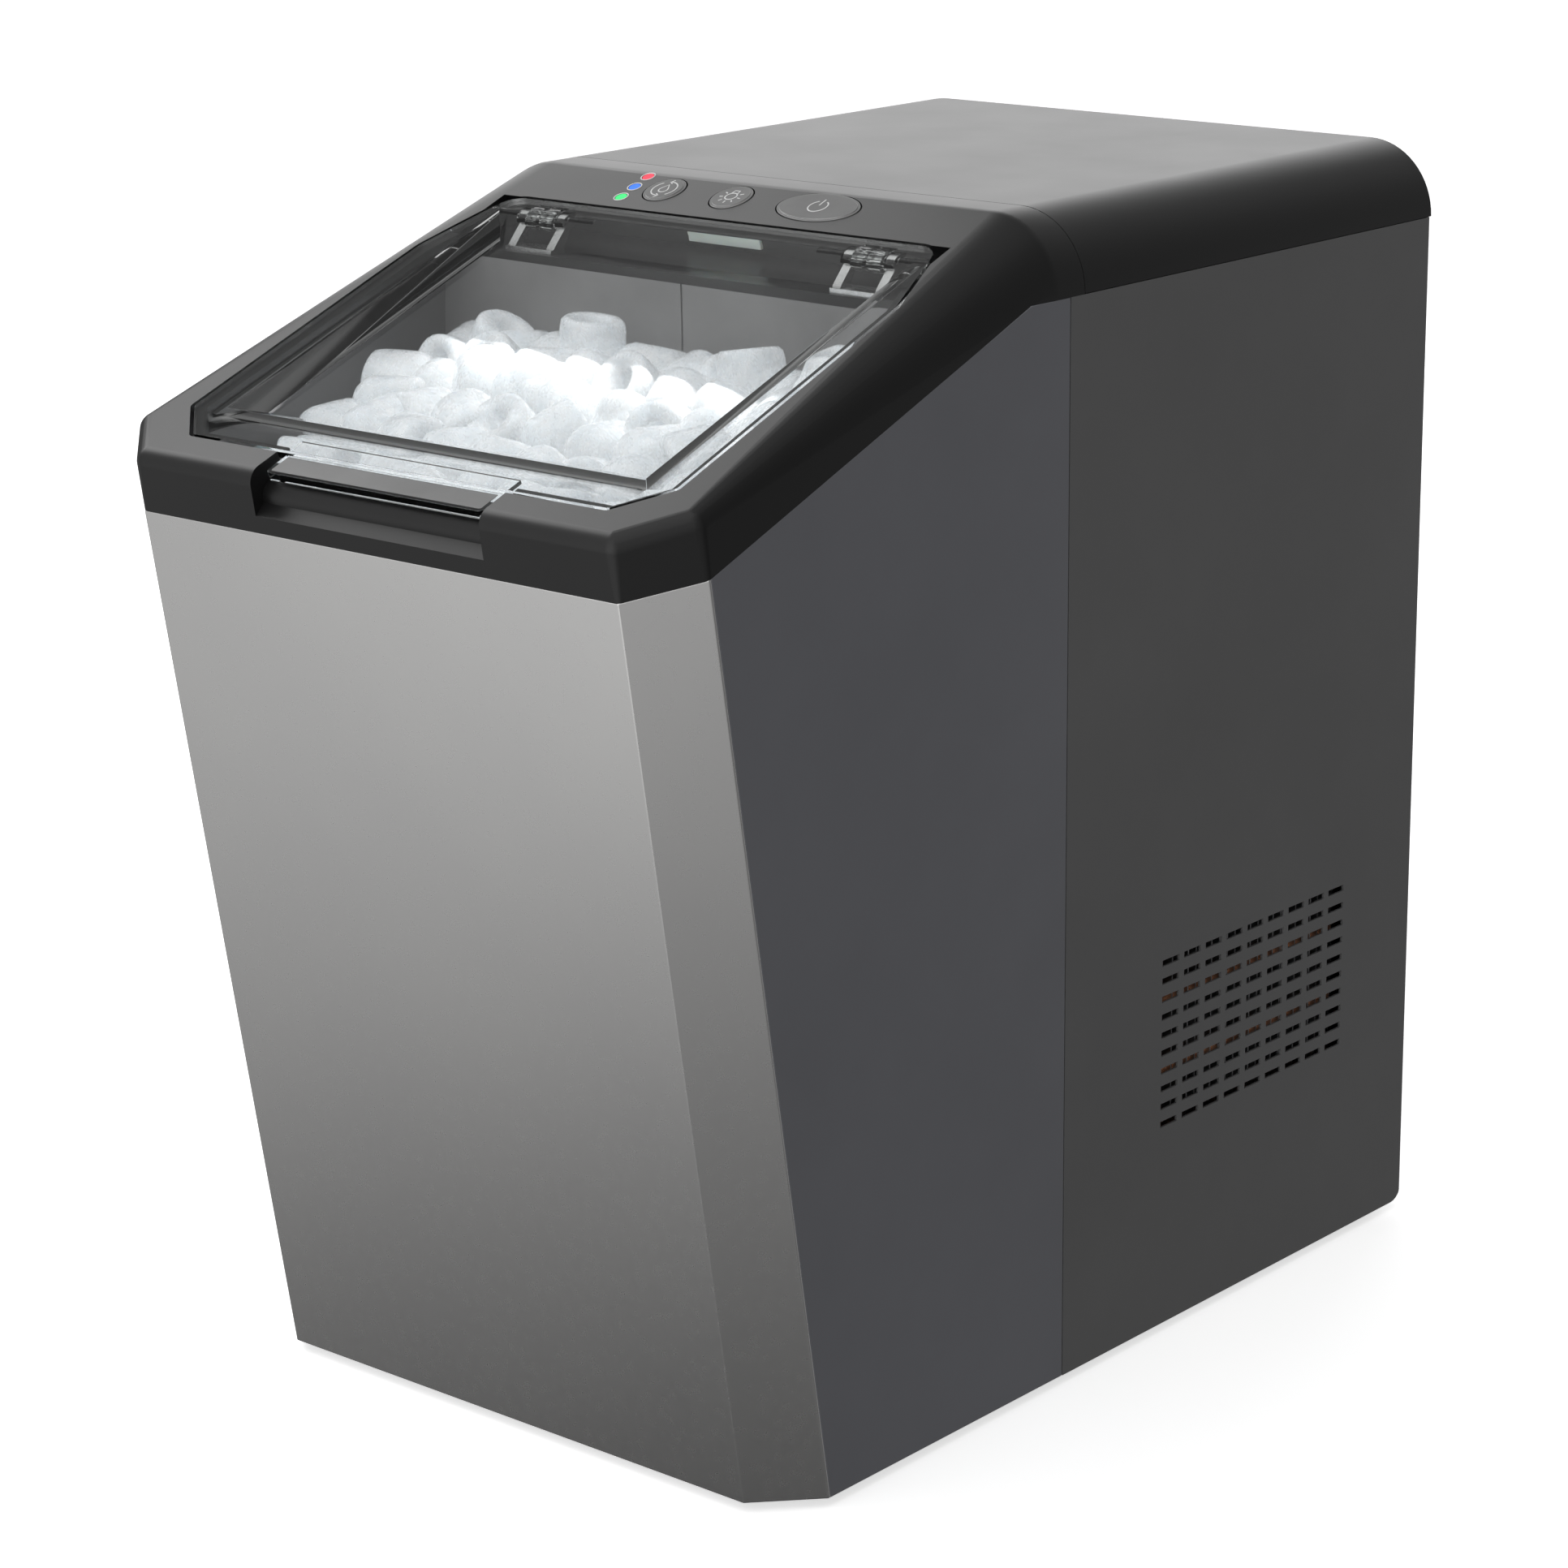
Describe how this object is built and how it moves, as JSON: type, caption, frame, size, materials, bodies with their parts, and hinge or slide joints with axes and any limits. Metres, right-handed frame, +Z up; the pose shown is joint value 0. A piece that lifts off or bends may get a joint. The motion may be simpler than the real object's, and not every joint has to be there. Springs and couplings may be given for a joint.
{
  "type": "countertop ice maker",
  "caption": "Wedge-fronted countertop ice maker with a clear hinged lid, ice basket, tilting water tray, freezing fingers and a small refrigeration set.",
  "frame": {"origin": "on the table, under the middle of the outline", "axes": "+X to the right hand of a person facing the front, +Y to the rear, +Z up"},
  "size_m": [0.216, 0.3614, 0.354],
  "materials": {
    "satin_steel": "satin silver coat with a fine grain",
    "charcoal_steel": "satin charcoal paint",
    "black_satin": "satin black moulding",
    "clear_lid": "clear polished moulding",
    "bright_steel": "bright",
    "button_grey": "glossy silver grey",
    "red_lens": "glowing lens",
    "blue_lens": "glowing lens",
    "green_lens": "glowing lens",
    "board_green": "circuit board",
    "ivory_lens": "translucent",
    "grey_liner": "satin grey moulding",
    "white_foam": "closed-cell foam",
    "frosted_basket": "translucent moulding",
    "white_plastic": "moulded",
    "copper": "drawn copper",
    "rubber_black": "matte",
    "compressor_black": "gloss black enamel",
    "fin_aluminium": "mill",
    "valve_brass": "satin",
    "dark_plastic": "moulded"
  },
  "bodies": {
    "cabinet": {"front_panel": "satin_steel", "left_side_panel": "charcoal_steel", "right_side_panel": "charcoal_steel", "rear_wrap": "charcoal_steel", "front_bezel": "black_satin", "top_cover": "black_satin", "hinge_brackets": "bright_steel", "hinge_pins": "bright_steel", "water_low_lens": "red_lens", "ice_full_lens": "blue_lens", "power_lens": "green_lens", "control_board": "board_green", "button_switches": "dark_plastic", "chamber_lamp": "ivory_lens", "tank_liner": "grey_liner", "tank_insulation": "white_foam", "chamber_cover": "grey_liner", "ice_rack": "white_plastic", "evaporator_plate": "copper", "evaporator_fingers": "bright_steel", "evaporator_hangers": "bright_steel", "tray_axle": "bright_steel", "tray_gearmotor": "dark_plastic", "pump_body": "dark_plastic", "fill_hose": "white_plastic", "level_probes": "bright_steel", "ice_sensors": "dark_plastic", "drain_pipe": "white_plastic", "base_tray": "dark_plastic", "rubber_feet": "rubber_black", "compressor": "compressor_black", "compressor_base": "compressor_black", "compressor_mounts": "rubber_black", "compressor_bolts": "bright_steel", "terminal_cover": "dark_plastic", "condenser_fins": "fin_aluminium", "condenser_tube": "copper", "fan_shroud": "dark_plastic", "fan_frame": "dark_plastic", "filter_drier": "copper", "hot_gas_valve": "valve_brass", "discharge_pipe": "copper", "hot_gas_pipe": "copper", "suction_pipe": "copper", "liquid_pipe": "copper", "capillary_tube": "copper", "power_board": "board_green", "board_standoffs": "bright_steel", "cord_gland": "rubber_black", "case_screws": "bright_steel"},
    "lid": {"lid": "clear_lid"},
    "power_button": {"power_button": "button_grey"},
    "light_button": {"light_button": "button_grey"},
    "clean_button": {"clean_button": "button_grey"},
    "basket": {"ice_basket": "frosted_basket"},
    "tray": {"water_tray": "white_plastic", "gearmotor_shaft": "bright_steel"},
    "impeller": {"pump_impeller": "white_plastic"},
    "fan": {"fan_rotor": "dark_plastic"},
    "drain_cap": {"drain_cap": "dark_plastic"}
  },
  "joints": [
    {"name": "lid_hinge", "type": "hinge", "parent": "cabinet", "child": "lid", "pos_m": [0, -0.03851, 0.33997], "axis": [-1, 0, 0], "range_deg": [0, 115]},
    {"name": "power_button_press", "type": "slide", "parent": "cabinet", "child": "power_button", "axis": [0, 0.3551, -0.9348], "range_m": [0, 0.0008], "stiffness_N_per_m": 400, "springref_m": -0.0008},
    {"name": "light_button_press", "type": "slide", "parent": "cabinet", "child": "light_button", "axis": [0, 0.3551, -0.9348], "range_m": [0, 0.0008], "stiffness_N_per_m": 400, "springref_m": -0.0008},
    {"name": "clean_button_press", "type": "slide", "parent": "cabinet", "child": "clean_button", "axis": [0, 0.3551, -0.9348], "range_m": [0, 0.0008], "stiffness_N_per_m": 400, "springref_m": -0.0008},
    {"name": "basket_lift", "type": "slide", "parent": "cabinet", "child": "basket", "axis": [0, 0, 1], "range_m": [0, 0.004]},
    {"name": "water_tray_tilt", "type": "hinge", "parent": "cabinet", "child": "tray", "pos_m": [0, -0.00291, 0.29297], "axis": [1, 0, 0], "range_deg": [0, 75]},
    {"name": "pump_impeller_spin", "type": "hinge", "parent": "cabinet", "child": "impeller", "pos_m": [0.0517, -0.02991, 0.05], "axis": [0, 0, 1], "continuous": true},
    {"name": "fan_spin", "type": "hinge", "parent": "cabinet", "child": "fan", "pos_m": [0.07, 0.09975, 0.093], "axis": [1, 0, 0], "continuous": true},
    {"name": "drain_cap_turn", "type": "hinge", "parent": "cabinet", "child": "drain_cap", "pos_m": [0, -0.1019, 0.01], "axis": [0, 0, 1], "range_deg": [0, 90]}
  ]
}
